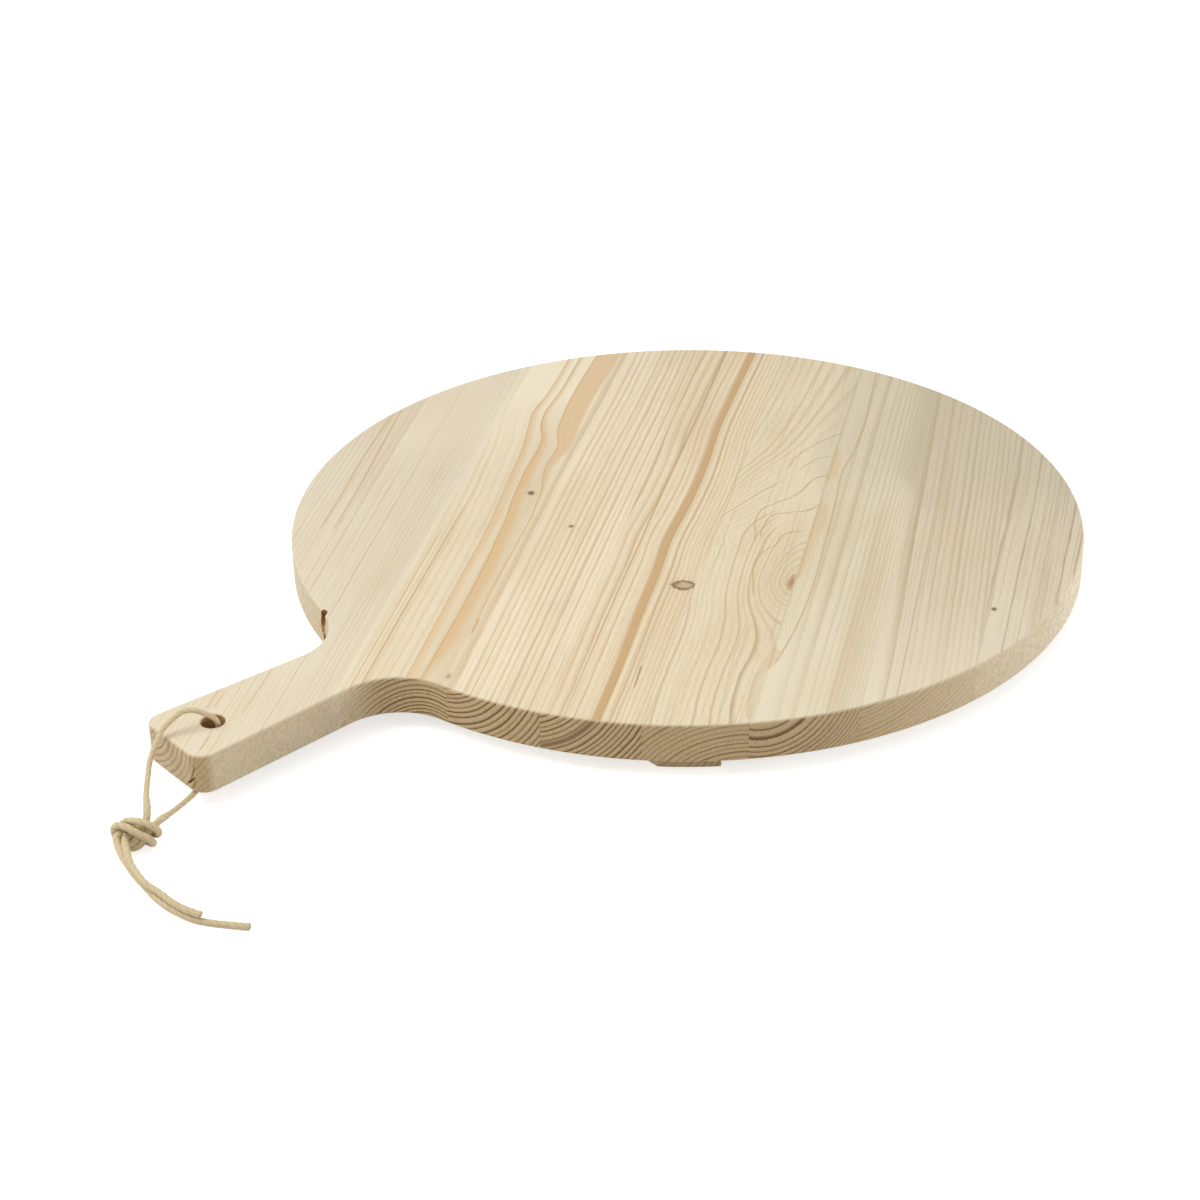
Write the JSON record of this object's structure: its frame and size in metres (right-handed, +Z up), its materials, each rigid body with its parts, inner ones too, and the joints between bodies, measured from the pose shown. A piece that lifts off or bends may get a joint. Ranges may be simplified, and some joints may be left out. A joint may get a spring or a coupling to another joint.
{
  "type": "polenta serving board",
  "caption": "Round serving board of glued softwood staves with a handle, screwed battens underneath and a knotted cord through the handle to hang it by.",
  "frame": {"origin": "on the table, under the middle of the board with its handle, the cord left out", "axes": "+Z up, out of the serving face; the handle points along -Y"},
  "size_m": [0.45, 0.6334, 0.0428],
  "materials": {
    "pale_wood": "planed, bare",
    "warm_wood": "planed, bare",
    "grey_wood": "planed, bare",
    "batten_wood": "planed, bare",
    "screw_zinc": "zinc plated",
    "twine": "twisted, matte"
  },
  "bodies": {
    "board": {"stave_1_rim": "pale_wood", "stave_1_tip": "warm_wood", "stave_2": "grey_wood", "stave_3": "pale_wood", "stave_4": "warm_wood", "stave_5": "grey_wood", "stave_6": "pale_wood", "stave_7": "warm_wood", "stave_8": "grey_wood", "stave_9": "pale_wood", "batten_handle_side": "batten_wood", "batten_far_side": "batten_wood", "batten_handle_side_screw_2": "screw_zinc", "batten_handle_side_screw_3": "screw_zinc", "batten_handle_side_screw_4": "screw_zinc", "batten_handle_side_screw_5": "screw_zinc", "batten_far_side_screw_5": "screw_zinc", "batten_far_side_screw_6": "screw_zinc", "batten_far_side_screw_7": "screw_zinc", "batten_far_side_screw_8": "screw_zinc"},
    "hang_cord": {"cord_upper_strand": "twine", "cord_lower_strand": "twine"}
  },
  "joints": [
    {"name": "cord_swivel", "type": "hinge", "parent": "board", "child": "hang_cord", "pos_m": [0, -0.261, 0.0203], "axis": [0, 0, 1], "range_deg": [-20, 25]}
  ]
}
